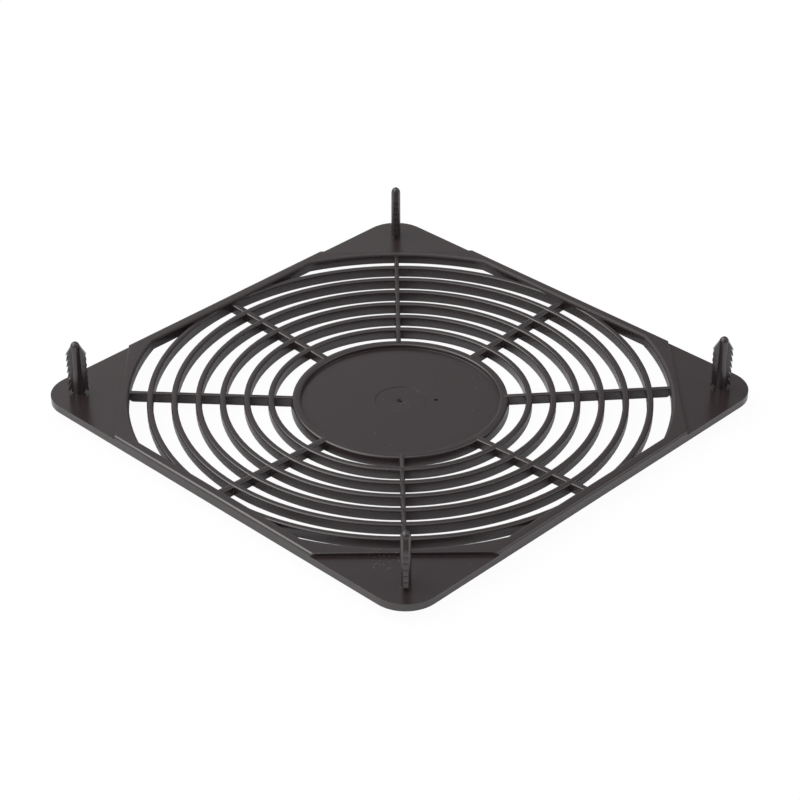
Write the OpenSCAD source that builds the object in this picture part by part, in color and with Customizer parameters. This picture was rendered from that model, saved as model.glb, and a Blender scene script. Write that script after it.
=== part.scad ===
// Square finger guard that snaps onto a box fan, moulded in one piece. A dished grille of rings and
// spokes fills a flat frame, and a barbed pin stands on each corner pad for the fan's corner hole.
// Millimetres, +Z towards the fan, with the origin at the middle of the hub's underside.

/* [Frame] */
// Side of the square frame
frame_side = 119; // [112:0.5:126]
// Radius of the frame's corners
corner_r = 8.2; // [2:0.2:12]
// Height of the raised rails and webs
rail_h = 2.7; // [2.2:0.1:4]
// Width of the rails along the sides
rail_w = 2.6; // [2:0.1:4]
// Rounding of the rails' outer top edges
rail_round = 0.7; // [0.1:0.05:0.8]
// Thickness of the lower pads in the corners
pad_t = 1.8; // [1.2:0.1:2]
// Width of a raised web on the diagonal, from the opening to the pad
web_w = 1.7; // [1.2:0.1:4]
// Rounding of the webs' top edges towards the pads
web_round = 0.15; // [0.05:0.05:0.8]
// Rounding of the opening's top edge
lip_round = 0.65; // [0.1:0.05:0.8]

/* [Grille] */
// Number of rings
ring_count = 6; // [3:1:6]
// Distance from one ring to the next
ring_pitch = 5.57; // [4.8:0.01:5.9]
// Width of a ring
ring_w = 1.48; // [1.2:0.02:2]
// Height of a ring
ring_h = 2.76; // [2:0.02:2.9]
// Distance from the rails' inner faces out to the middle of the outermost ring
ring_sink = 0.85; // [0.4:0.05:1.2]
// Distance from the middle of the outermost ring to the webs in the corners
web_gap = 4.83; // [3:0.01:7]
// Number of spokes
spoke_count = 8; // [8:8:16]
// Width of a spoke that runs to the middle of a rail
side_spoke_w = 1.7; // [1:0.02:2]
// Width of a spoke that runs to a corner
corner_spoke_w = 1.14; // [1:0.02:2]
// Height of a spoke that runs to the middle of a rail
side_spoke_h = 2.5; // [1.8:0.02:2.6]
// Height of a spoke that runs to a corner
corner_spoke_h = 2.68; // [1.8:0.02:2.7]
// Depth of the side spokes' tops below the rings' tops
side_spoke_drop = 0.16; // [0.02:0.02:0.4]
// Depth of the corner spokes' tops below the rings' tops
corner_spoke_drop = 0.02; // [0.02:0.02:0.4]
// Fall of the grille from the webs to the hub
dish_drop = 1.82; // [1:0.02:2.6]
// Height of the grille's inner edge above the hub's rim
grille_rise = 0.23; // [0.1:0.01:0.4]
// Depth of the grille's outer edge below the rails' tops
grille_drop = 0.68; // [0.6:0.01:1.2]
// Rounding of the rings' and spokes' top edges
top_round = 0.4; // [0.05:0.01:0.45]
// Rounding of the rings' and spokes' bottom edges
low_round = 0.46; // [0.1:0.02:0.48]

/* [Hub] */
// Radius of the hub
hub_r = 25.05; // [18:0.05:26]
// Height of the hub's rim
hub_h = 2.55; // [2.5:0.05:3.2]
// Width of the hub's rim
rim_w = 2; // [1.2:0.1:3]
// Rounding of the rim's top edges
rim_round = 0.45; // [0.1:0.05:0.55]
// Depth of the hub's dished floor below its rim
hub_recess = 1; // [0.8:0.05:1.4]
// Fillet between the rim and the floor
rim_fillet = 0.1; // [0.05:0.05:0.3]
// Flare of the hub's wall towards its bottom
hub_flare = 0.3; // [0.05:0.05:0.6]
// Rounding of the hub's bottom edge
hub_round = 0.3; // [0.1:0.05:0.6]
// Diameter of the gate scar's dimple
gate_d = 1.7; // [1:0.1:3]
// Diameter of the broken gate in the dimple
gate_nib_d = 0.7; // [0.4:0.1:0.9]
// Depth of the dimple
gate_depth = 0.3; // [0.1:0.05:0.5]
// Radius of the shallow sunk disc around the gate
disc_r = 5.8; // [4:0.1:7]
// Depth of the sunk disc
disc_depth = 0.08; // [0.02:0.01:0.2]
// Distance from the gate to the small pin mark beside it
mark_r = 8.3; // [7.6:0.1:13]
// Diameter of the pin mark
mark_d = 0.7; // [0.4:0.05:1.2]
// Depth of the pin mark
mark_depth = 0.25; // [0.1:0.05:0.5]

/* [Pins] */
// Distance between neighbouring pins, as between the fan's corner holes
pin_pitch = 105; // [103:0.1:106.5]
// Length of a pin above its pad
pin_len = 13.7; // [13.2:0.1:16]
// Diameter of the plain shank at a pin's foot
shank_d = 2.4; // [2.2:0.1:2.8]
// Length of the plain shank
shank_len = 0.5; // [0.4:0.05:0.8]
// Diameter of the tapered core just below its tip
core_tip_d = 2.3; // [1.5:0.1:2.4]
// Length of the rounded tip
tip_len = 1.4; // [0.6:0.1:1.6]
// Thickness of the flat fin that carries the barbs
fin_t = 1.1; // [0.8:0.1:1.6]
// Width across the barbs' points
barb_span = 4.6; // [4.2:0.1:5.4]
// Distance from one barb to the next
barb_pitch = 1.6; // [1.2:0.05:1.65]
// Height of the lowest barbs' points above the pad
barb_foot = 0.75; // [0.5:0.05:0.9]
// Distance from the inner end of a barb's slit to the pin's axis
barb_root = 1.55; // [1.5:0.05:1.8]
// Distance from a barb's shoulder to the pin's axis
barb_shoulder = 2.05; // [1.8:0.05:2.05]
// Height of a barb's slanting outer face, from its point to its shoulder
barb_rise = 1.4; // [0.8:0.05:1.5]
// Depth of the slit behind a barb's point
barb_slit = 0.6; // [0.3:0.05:0.8]
// Distance of the lead-in's inner end inside the core's edge
tip_inset = 0.4; // [0.3:0.05:0.6]

/* [Hidden] */
$fn = 96;
plastic = "#3f3c3c";
eps = 0.5; // overlap that fuses one form into another
arc_steps = 3; // flats in each rounded edge of a profile
bar_share = 0.48; // most of a bar's width that one bottom rounding takes

// Plan of the frame and the grille
half_side = frame_side / 2;
rail_in = half_side - rail_w;
outer_ring_r = rail_in + ring_sink;
opening_r = outer_ring_r + web_gap;
step_d = opening_r + web_w;
pin_r = pin_pitch / 2 * sqrt(2);

// Barbs on each side of a pin, as many as fit between its foot and its tip
barb_count = floor((pin_len - tip_len - barb_foot) / barb_pitch);

// Levels above the hub's underside
slope = dish_drop / (opening_r - hub_r);
rail_top = hub_h + grille_rise + dish_drop + grille_drop;
frame_z = rail_top - rail_h;
pad_z = frame_z + pad_t;
floor_z = hub_h - hub_recess;
disc_z = floor_z - disc_depth;

// Roundings of the rails and webs, no deeper than their step above the pads
rail_edge = min(rail_round, rail_h - pad_t);
web_edge = min(web_round, rail_h - pad_t);

function grille_top(r) = hub_h + grille_rise + slope * (r - hub_r);

// Points of an arc, from angle a to angle b
function arc(x, y, r, a, b) =
    [for (i = [0:arc_steps]) let (t = a + (b - a) * i / arc_steps) [x + r * cos(t), y + r * sin(t)]];

// Section of a ring or a spoke: flat top with eased edges, rounded underside, top middle at the origin
module bar_section(w, h) {
    low = min(low_round, bar_share * w);
    polygon(concat(
        arc(w / 2 - low, low - h, low, -90, 0),
        arc(w / 2 - top_round, -top_round, top_round, 0, 90),
        arc(top_round - w / 2, -top_round, top_round, 90, 180),
        arc(low - w / 2, low - h, low, 180, 270)));
}

module outline() {
    straight = frame_side - 2 * corner_r;
    square([frame_side, straight], center = true);
    square([straight, frame_side], center = true);
    for (x = [-1, 1], y = [-1, 1]) {
        translate([x, y] * straight / 2) circle(corner_r);
    }
}

// Side of the opening at distance x, flaring over the rounded top edge
function lip(x) = concat(
    [[x, -eps]],
    arc(x + lip_round, rail_h - lip_round, lip_round, 180, 90),
    [[x + lip_round, rail_h + eps]]);

// Space between two opposite rails
module between_rails() {
    side = lip(rail_in);
    last = len(side) - 1;
    rotate([90, 0, 0]) linear_extrude(2 * frame_side, center = true)
        polygon(concat(side, [for (i = [last:-1:0]) [-side[i].x, side[i].y]]));
}

module opening() {
    intersection() {
        rotate_extrude() polygon(concat([[0, -eps]], lip(opening_r), [[0, rail_h + eps]]));
        between_rails();
        rotate(90) between_rails();
    }
}

// Waste outside a rounded edge that runs along Y, with the edge's corner at the origin
module edge_waste(r) {
    rotate([90, 0, 0]) linear_extrude(2 * frame_side, center = true) difference() {
        translate([-r, -r]) square(r + eps);
        translate([-r, -r]) circle(r);
    }
}

module frame() {
    translate([0, 0, frame_z]) difference() {
        union() {
            linear_extrude(pad_t) outline();
            linear_extrude(rail_h) intersection() {
                outline();
                rotate(45) square(2 * step_d, center = true);
            }
        }
        opening();
        for (a = [0:90:270]) {
            rotate(a) translate([half_side, 0, rail_h]) edge_waste(rail_edge);
            rotate(a + 45) translate([step_d, 0, rail_h]) edge_waste(web_edge);
        }
    }
}

module rings() {
    for (i = [0:ring_count - 1]) {
        r = outer_ring_r - i * ring_pitch;
        rotate_extrude() translate([r, grille_top(r)]) bar_section(ring_w, ring_h);
    }
}

// One spoke along +X, from inside the hub's rim to r_end, falling with the dish
module spoke(r_end, w, h, drop) {
    r_start = hub_r - rim_w / 2;
    tilt = atan(slope);
    translate([r_start, 0, grille_top(r_start) - drop]) rotate([0, -tilt, 0]) rotate([90, 0, 90])
        linear_extrude((r_end - r_start) / cos(tilt)) bar_section(w, h);
}

// Ramps up the underside of the diagonal spokes to the frame's underside
module spoke_end_waste() {
    low = frame_z - corner_spoke_h;
    reach = opening_r + corner_spoke_h;
    rotate_extrude()
        polygon([[opening_r - corner_spoke_h, low], [reach, low], [reach, frame_z], [opening_r, frame_z]]);
}

module spokes() {
    difference() {
        for (i = [0:spoke_count - 1]) {
            a = 360 * i / spoke_count;
            reach = min(rail_in / max(abs(cos(a)), abs(sin(a))), opening_r);
            rotate(a) if (a % 90 == 0) {
                spoke(reach + eps, side_spoke_w, side_spoke_h, side_spoke_drop);
            } else {
                spoke(reach + eps, corner_spoke_w, corner_spoke_h, corner_spoke_drop);
            }
        }
        spoke_end_waste();
    }
}

// Turned form of the hub: drafted wall, rounded rim, sunk floor, disc and gate scar
module hub_body() {
    rim_in = hub_r - rim_w;
    rotate_extrude() polygon(concat(
        [[0, 0]],
        arc(hub_r + hub_flare - hub_round, hub_round, hub_round, -90, 0),
        arc(hub_r - rim_round, hub_h - rim_round, rim_round, 0, 90),
        arc(rim_in + rim_round, hub_h - rim_round, rim_round, 90, 180),
        arc(rim_in - rim_fillet, floor_z + rim_fillet, rim_fillet, 0, -90),
        [[disc_r, floor_z], [disc_r, disc_z], [gate_d / 2, disc_z], [gate_nib_d / 2, disc_z - gate_depth],
         [gate_nib_d / 2, disc_z], [0, disc_z]]));
}

module hub() {
    difference() {
        hub_body();
        rotate(45) translate([mark_r, 0, floor_z - mark_depth]) cylinder(d = mark_d, h = hub_h);
    }
}

// Round shank, tapered core and bullet tip of a pin, standing on the origin
module pin_core() {
    core_top = pin_len - tip_len;
    tip_r = core_tip_d / 2;
    tip = [for (i = [1:arc_steps + 1]) let (t = 90 * i / (arc_steps + 1))
        [tip_r * cos(t), core_top + tip_len * sin(t)]];
    rotate_extrude() polygon(concat(
        [[0, -eps], [shank_d / 2, -eps], [shank_d / 2, shank_len], [tip_r, core_top]],
        tip));
}

// Outline of the barbs on one side of a pin, from the foot to the lead-in at the tip
function barb_side() = [for (i = [0:barb_count - 1])
    let (z = barb_foot + i * barb_pitch, last = i == barb_count - 1)
    each [[barb_root, z + barb_slit], [barb_span / 2, z],
        last ? [core_tip_d / 2 - tip_inset, pin_len - tip_len / 2] : [barb_shoulder, z + barb_rise]]];

module pin_fin() {
    side = concat([[barb_root, shank_len]], barb_side());
    last = len(side) - 1;
    rotate([90, 0, 0]) linear_extrude(fin_t, center = true)
        polygon(concat(side, [for (i = [last:-1:0]) [-side[i].x, side[i].y]]));
}

module pins() {
    for (a = [45:90:315]) {
        rotate(a) translate([pin_r, 0, pad_z]) {
            pin_core();
            pin_fin();
        }
    }
}

module finger_guard() {
    color(plastic) {
        frame();
        rings();
        spokes();
        hub();
        pins();
    }
}

finger_guard();
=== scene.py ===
import math

import bpy
from mathutils import Matrix, Vector

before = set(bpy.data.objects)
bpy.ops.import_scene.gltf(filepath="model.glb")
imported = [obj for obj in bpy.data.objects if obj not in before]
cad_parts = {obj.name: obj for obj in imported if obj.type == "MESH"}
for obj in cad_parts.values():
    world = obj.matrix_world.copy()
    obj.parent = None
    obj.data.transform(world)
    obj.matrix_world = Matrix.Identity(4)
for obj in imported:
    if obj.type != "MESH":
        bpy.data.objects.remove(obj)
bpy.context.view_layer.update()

# Lengths are in metres and angles in degrees, unless a comment says otherwise

# View of the photograph: the picture's side, the focal length and the aim's place are in pixels, the
# sensor is in millimetres, and the camera aims at the middle of the frame's underside
IMAGE_SIDE = 800
FOCAL_PIXELS = 2351.6
SENSOR = 36.0
AIM = Vector((0.0, 0.0, 0.00258))
AIM_PIXEL = (400.16, 396.37)
CAMERA_DISTANCE = 0.5456
CAMERA_AZIMUTH = 44.136
CAMERA_ELEVATION = 32.776
CLIP_START = 0.01

# Studio light: an even surround and soft glows in it. Bearings turn left from the camera's side, then
# come the glow's height, its sharpness and its level
SURROUND = 0.227
GLOWS = (
    ("key", 116, 51, 16, 3.6),
    ("front_left", 45, 38, 14, 2.27),
    ("left", 90, 38, 14, 1.34),
    ("high_left", 135, 63, 14, 0.5),
    ("top", 0, 88, 14, 1.0),
    ("right", 270, 38, 14, 1.22),
    ("high_right", 315, 63, 14, 0.42),
    ("back", 180, 8, 12, 0.185),
    ("low_back", 168, 20, 60, 0.59),
)
WHITE = (1.0, 1.0, 1.0, 1.0)
WHITE_STRENGTH = 1.0

# Floor: a little under the part, and mostly plain white to the camera, so that its shadow is faint
PAPER = (0.9, 0.9, 0.9, 1.0)
FLOOR_HALF = 4.0
FLOOR_HEIGHT = -0.00001
FLOOR_CAMERA_SHARE = 0.96

# Plastic: two greys and two roughnesses that the flow mottling goes between, and eased edges
BASE_DARK = (0.0228, 0.0151, 0.0161, 1.0)
BASE_LIGHT = (0.0253, 0.0168, 0.0180, 1.0)
SMOOTH = 0.22
SATIN = 0.28
PLASTIC_IOR = 1.67
EDGE_RADIUS = 0.00012
EDGE_SAMPLES = 6

# Mottling and grain, with scales per metre
FLOW_SCALE = 90.0
FLOW_DETAIL = 4.0
FLOW_ROUGHNESS = 0.6
GRAIN_SCALE = 2600.0
GRAIN_DETAIL = 3.0
GRAIN_STRENGTH = 0.06
GRAIN_HEIGHT = 0.00002

# Dull place: the rounded inner lip of the frame, above a height, in a square and in a circle
LIP_LOW = 0.0046
LIP_SIDE = 0.0576
LIP_REACH = 0.0633
DULLING = 0.4

# Draft, as a slope, of the walls inside the lip that face away from the hub
DRAFT = 0.07

# Painted shade: the gate scar, the pin mark beside it and, less so, the edge of the sunk disc reflect
# less, so that they look shaded
SCAR_REACH = 0.0008
PIN_MARK = (0.00587, 0.00587, 0.0015)
MARK_REACH = 0.00055
DISC_REACH = 0.00575
DISC_EDGE = 0.00016
DISC_SHARE = 0.4
SHEEN = 0.5
PAINTED_SHADE_SHEEN = 0.12

# Dust: its colour, a speck's radius, the cells per metre that each may hold a speck, all over the part
# and in a patch, and the patch's middle on the front pad
DUST = (0.10, 0.096, 0.094, 1.0)
SPECK = 0.00012
PART_CELLS = 300.0
PATCH_CELLS = 1600.0
PATCH = (0.0431, -0.0497, 0.0044)
PATCH_SIZE = 0.0035

# Smoothing: points closer than this are one, and edges gentler than this are shaded smooth
WELD_DISTANCE = 1e-6
SMOOTH_ANGLE = 38


def fill_input(tree, socket, value):
    """Links an input to another node's output, or sets a plain value on it."""
    if isinstance(value, bpy.types.NodeSocket):
        tree.links.new(value, socket)
    else:
        socket.default_value = value


def add_node(tree, kind, inputs=None, **settings):
    """Node with its properties set and its inputs, by name or number, filled."""
    node = tree.nodes.new(kind)
    for name, value in settings.items():
        setattr(node, name, value)
    for name, value in (inputs or {}).items():
        fill_input(tree, node.inputs[name], value)
    return node


def math_node(tree, operation, *values):
    """Result of a math node on sockets and numbers."""
    node = add_node(tree, "ShaderNodeMath", dict(enumerate(values)), operation=operation)
    return node.outputs["Value"]


def vector_node(tree, operation, *values):
    """Vector math node on sockets and vectors."""
    return add_node(tree, "ShaderNodeVectorMath", dict(enumerate(values)), operation=operation)


def map_factor(tree, factor, start, end):
    """Number that goes from start to end as the factor goes from nought to one."""
    inputs = {"Value": factor, "To Min": start, "To Max": end}
    return add_node(tree, "ShaderNodeMapRange", inputs).outputs["Result"]


def mix_colours(tree, factor, first, second):
    """Colour that goes from the first to the second colour with the factor."""
    node = add_node(tree, "ShaderNodeMix", {"Factor": factor}, data_type="RGBA")
    sockets = [socket for socket in node.inputs if socket.type == "RGBA"]
    for socket, colour in zip(sockets, (first, second)):
        fill_input(tree, socket, colour)
    return [socket for socket in node.outputs if socket.type == "RGBA"][0]


def mix_shaders(tree, factor, first, second):
    """Shader that goes from the first to the second shader with the factor."""
    return add_node(tree, "ShaderNodeMixShader", {0: factor, 1: first, 2: second}).outputs["Shader"]


def new_material(name):
    """Material without nodes."""
    material = bpy.data.materials.new(name)
    material.use_nodes = True
    material.node_tree.nodes.clear()
    return material


def within(tree, place, centre, distance):
    """One nearer to a fixed point than the distance, and nought elsewhere."""
    away = vector_node(tree, "DISTANCE", place, centre).outputs["Value"]
    return math_node(tree, "LESS_THAN", away, distance)


def lip_places(tree, place, reach):
    """One on the frame's inner lip, and nought elsewhere."""
    axes = add_node(tree, "ShaderNodeSeparateXYZ", {"Vector": place})
    across = math_node(tree, "ABSOLUTE", axes.outputs["X"])
    along = math_node(tree, "ABSOLUTE", axes.outputs["Y"])
    inside = math_node(tree, "LESS_THAN", math_node(tree, "MAXIMUM", across, along), LIP_SIDE)
    near = math_node(tree, "LESS_THAN", reach, LIP_REACH)
    high = math_node(tree, "GREATER_THAN", axes.outputs["Z"], LIP_LOW)
    return math_node(tree, "MULTIPLY", high, math_node(tree, "MULTIPLY", inside, near))


def painted_shade_places(tree, place, reach):
    """Painted shade: one on the gate scar and the pin mark, less on the edge of the disc, and nought
    elsewhere.
    """
    scar = math_node(tree, "LESS_THAN", reach, SCAR_REACH)
    spots = math_node(tree, "MAXIMUM", scar, within(tree, place, PIN_MARK, MARK_REACH))
    edge = math_node(tree, "COMPARE", reach, DISC_REACH, DISC_EDGE)
    return math_node(tree, "MAXIMUM", spots, math_node(tree, "MULTIPLY", edge, DISC_SHARE))


def specks(tree, place, cells_per_metre):
    """One on small round specks that lie scattered in such cells, and nought elsewhere."""
    cells = add_node(tree, "ShaderNodeTexVoronoi", {"Vector": place, "Scale": cells_per_metre})
    return math_node(tree, "LESS_THAN", cells.outputs["Distance"], SPECK * cells_per_metre)


def dust_places(tree, place):
    """One on a few specks of dust all over the part and on many in the patch, and nought elsewhere."""
    patch = within(tree, place, PATCH, PATCH_SIZE)
    many = math_node(tree, "MULTIPLY", patch, specks(tree, place, PATCH_CELLS))
    return math_node(tree, "MAXIMUM", many, specks(tree, place, PART_CELLS))


def drafted_normal(tree, normal, level_place, reach):
    """Normal that tips up a little on the grille's walls that face away from the hub."""
    outward = vector_node(tree, "NORMALIZE", level_place).outputs["Vector"]
    facing = vector_node(tree, "DOT_PRODUCT", normal, outward).outputs["Value"]
    away = math_node(tree, "MAXIMUM", facing, 0.0)
    inside = math_node(tree, "LESS_THAN", reach, LIP_REACH)
    draft = math_node(tree, "MULTIPLY", inside, DRAFT)
    lift = add_node(tree, "ShaderNodeCombineXYZ", {"Z": math_node(tree, "MULTIPLY", away, draft)})
    tipped = vector_node(tree, "ADD", normal, lift.outputs["Vector"]).outputs["Vector"]
    return vector_node(tree, "NORMALIZE", tipped).outputs["Vector"]


def plastic_material():
    """Satin moulded plastic: warm dark grey, faint flow mottling, fine grain, eased edges, dust and
    painted shade on the gate scar, pin mark and disc edge.
    """
    material = new_material("satin_plastic")
    tree = material.node_tree
    place = add_node(tree, "ShaderNodeTexCoord").outputs["Object"]
    level_place = vector_node(tree, "MULTIPLY", place, (1.0, 1.0, 0.0)).outputs["Vector"]
    reach = vector_node(tree, "LENGTH", level_place).outputs["Value"]

    flow = add_node(tree, "ShaderNodeTexNoise", {
        "Vector": place,
        "Scale": FLOW_SCALE,
        "Detail": FLOW_DETAIL,
        "Roughness": FLOW_ROUGHNESS,
    }).outputs["Fac"]
    clean = mix_colours(tree, flow, BASE_DARK, BASE_LIGHT)
    colour = mix_colours(tree, dust_places(tree, place), clean, DUST)

    dulling = math_node(tree, "MULTIPLY", lip_places(tree, place, reach), DULLING)
    roughness = math_node(tree, "ADD", map_factor(tree, flow, SMOOTH, SATIN), dulling)
    # Painted shade: a lower specular level on the gate scar, the pin mark and the disc edge makes them
    # look shaded
    sheen_with_painted_shade = map_factor(tree, painted_shade_places(tree, place, reach), SHEEN, PAINTED_SHADE_SHEEN)

    edge = add_node(tree, "ShaderNodeBevel", {"Radius": EDGE_RADIUS}, samples=EDGE_SAMPLES)
    grain = add_node(tree, "ShaderNodeTexNoise", {
        "Vector": place,
        "Scale": GRAIN_SCALE,
        "Detail": GRAIN_DETAIL,
    })
    bump = add_node(tree, "ShaderNodeBump", {
        "Strength": GRAIN_STRENGTH,
        "Distance": GRAIN_HEIGHT,
        "Height": grain.outputs["Fac"],
        "Normal": drafted_normal(tree, edge.outputs["Normal"], level_place, reach),
    })

    shader = add_node(tree, "ShaderNodeBsdfPrincipled", {
        "Base Color": colour,
        "Roughness": roughness,
        "IOR": PLASTIC_IOR,
        "Specular IOR Level": sheen_with_painted_shade,
        "Normal": bump.outputs["Normal"],
    })
    add_node(tree, "ShaderNodeOutputMaterial", {"Surface": shader.outputs["BSDF"]})
    return material


def floor_material():
    """White paper that shades the part, looks plain white with a faint shadow and is clear from below."""
    material = new_material("white_floor")
    tree = material.node_tree
    paper = add_node(tree, "ShaderNodeBsdfDiffuse", {"Color": PAPER}).outputs["BSDF"]
    white = add_node(tree, "ShaderNodeEmission", {"Color": WHITE, "Strength": WHITE_STRENGTH})
    clear = add_node(tree, "ShaderNodeBsdfTransparent").outputs["BSDF"]
    seen = add_node(tree, "ShaderNodeLightPath").outputs["Is Camera Ray"]
    below = add_node(tree, "ShaderNodeNewGeometry").outputs["Backfacing"]
    share = math_node(tree, "MULTIPLY", seen, FLOOR_CAMERA_SHARE)
    top = mix_shaders(tree, share, paper, white.outputs["Emission"])
    add_node(tree, "ShaderNodeOutputMaterial", {"Surface": mix_shaders(tree, below, top, clear)})
    return material


def smooth_faces():
    """Geometry nodes that shade faces smooth across every edge that isn't sharp."""
    tree = bpy.data.node_groups.new("smooth_faces", "GeometryNodeTree")
    for way in ("INPUT", "OUTPUT"):
        tree.interface.new_socket("Geometry", in_out=way, socket_type="NodeSocketGeometry")
    start = add_node(tree, "NodeGroupInput").outputs["Geometry"]
    angle = add_node(tree, "GeometryNodeInputMeshEdgeAngle").outputs["Unsigned Angle"]
    limit = math.radians(SMOOTH_ANGLE)
    gentle = add_node(tree, "FunctionNodeCompare", {0: angle, 1: limit}, operation="LESS_THAN")
    faces = add_node(tree, "GeometryNodeSetShadeSmooth", {"Geometry": start}, domain="FACE")
    edges = add_node(tree, "GeometryNodeSetShadeSmooth", {
        "Geometry": faces.outputs["Geometry"],
        "Shade Smooth": gentle.outputs["Result"],
    }, domain="EDGE")
    add_node(tree, "NodeGroupOutput", {"Geometry": edges.outputs["Geometry"]})
    return tree


def soft_shading(guard):
    """Joins the solid's faces, smooths them and lets the large ones stay flat."""
    weld = guard.modifiers.new("weld", "WELD")
    weld.merge_threshold = WELD_DISTANCE

    smooth = guard.modifiers.new("smooth", "NODES")
    smooth.node_group = smooth_faces()

    normals = guard.modifiers.new("normals", "WEIGHTED_NORMAL")
    normals.mode = "FACE_AREA"
    normals.keep_sharp = True


def view_axes():
    """Right, up and back directions of the camera."""
    azimuth = math.radians(CAMERA_AZIMUTH)
    elevation = math.radians(CAMERA_ELEVATION)
    right = Vector((math.cos(azimuth), math.sin(azimuth), 0.0))
    back = Vector((
        math.sin(azimuth) * math.cos(elevation),
        -math.cos(azimuth) * math.cos(elevation),
        math.sin(elevation)))
    return right, back.cross(right), back


def glow_direction(bearing, height):
    """Direction of a glow from its bearing, which turns left from the camera's side, and its height."""
    right, _, back = view_axes()
    forward = Vector((back.x, back.y, 0.0)).normalized()
    bearing = math.radians(bearing)
    height = math.radians(height)
    level = forward * math.cos(bearing) - right * math.sin(bearing)
    return level * math.cos(height) + Vector((0.0, 0.0, math.sin(height)))


def make_camera():
    """Camera that sees the part as the photograph does."""
    right, up, back = view_axes()
    data = bpy.data.cameras.new("camera")
    data.sensor_width = SENSOR
    data.lens = FOCAL_PIXELS / IMAGE_SIDE * SENSOR
    data.shift_x = (IMAGE_SIDE / 2 - AIM_PIXEL[0]) / IMAGE_SIDE
    data.shift_y = (AIM_PIXEL[1] - IMAGE_SIDE / 2) / IMAGE_SIDE
    data.clip_start = CLIP_START
    camera = bpy.data.objects.new("camera", data)
    turn = Matrix((right, up, back)).transposed().to_4x4()
    camera.matrix_world = Matrix.Translation(AIM + back * CAMERA_DISTANCE) @ turn
    bpy.context.scene.collection.objects.link(camera)
    bpy.context.scene.camera = camera


def make_floor():
    """Wide square of white paper under the part."""
    mesh = bpy.data.meshes.new("floor")
    square = ((-1, -1), (1, -1), (1, 1), (-1, 1))
    corners = [(x * FLOOR_HALF, y * FLOOR_HALF, FLOOR_HEIGHT) for x, y in square]
    mesh.from_pydata(corners, [], [(0, 1, 2, 3)])
    mesh.materials.append(floor_material())
    floor = bpy.data.objects.new("floor", mesh)
    bpy.context.scene.collection.objects.link(floor)


def make_world():
    """Soft studio surround, made of an even level and the glows, that the camera sees as white."""
    world = bpy.data.worlds.new("studio")
    world.use_nodes = True
    tree = world.node_tree
    tree.nodes.clear()
    direction = add_node(tree, "ShaderNodeTexCoord").outputs["Generated"]
    total = SURROUND
    for name, bearing, height, sharpness, level in GLOWS:
        toward = vector_node(tree, "DOT_PRODUCT", direction, glow_direction(bearing, height))
        toward.label = name
        ahead = math_node(tree, "MAXIMUM", toward.outputs["Value"], 0.0)
        shape = math_node(tree, "POWER", ahead, sharpness)
        total = math_node(tree, "MULTIPLY_ADD", shape, level, total)
    sky = add_node(tree, "ShaderNodeBackground", {"Color": WHITE, "Strength": total})
    white = add_node(tree, "ShaderNodeBackground", {"Color": WHITE, "Strength": WHITE_STRENGTH})
    seen = add_node(tree, "ShaderNodeLightPath").outputs["Is Camera Ray"]
    surface = mix_shaders(tree, seen, sky.outputs["Background"], white.outputs["Background"])
    add_node(tree, "ShaderNodeOutputWorld", {"Surface": surface})
    bpy.context.scene.world = world


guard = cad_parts["finger_guard"]
guard.data.materials.clear()
guard.data.materials.append(plastic_material())
soft_shading(guard)

make_camera()
make_floor()
make_world()

bpy.context.scene.view_settings.view_transform = "Standard"
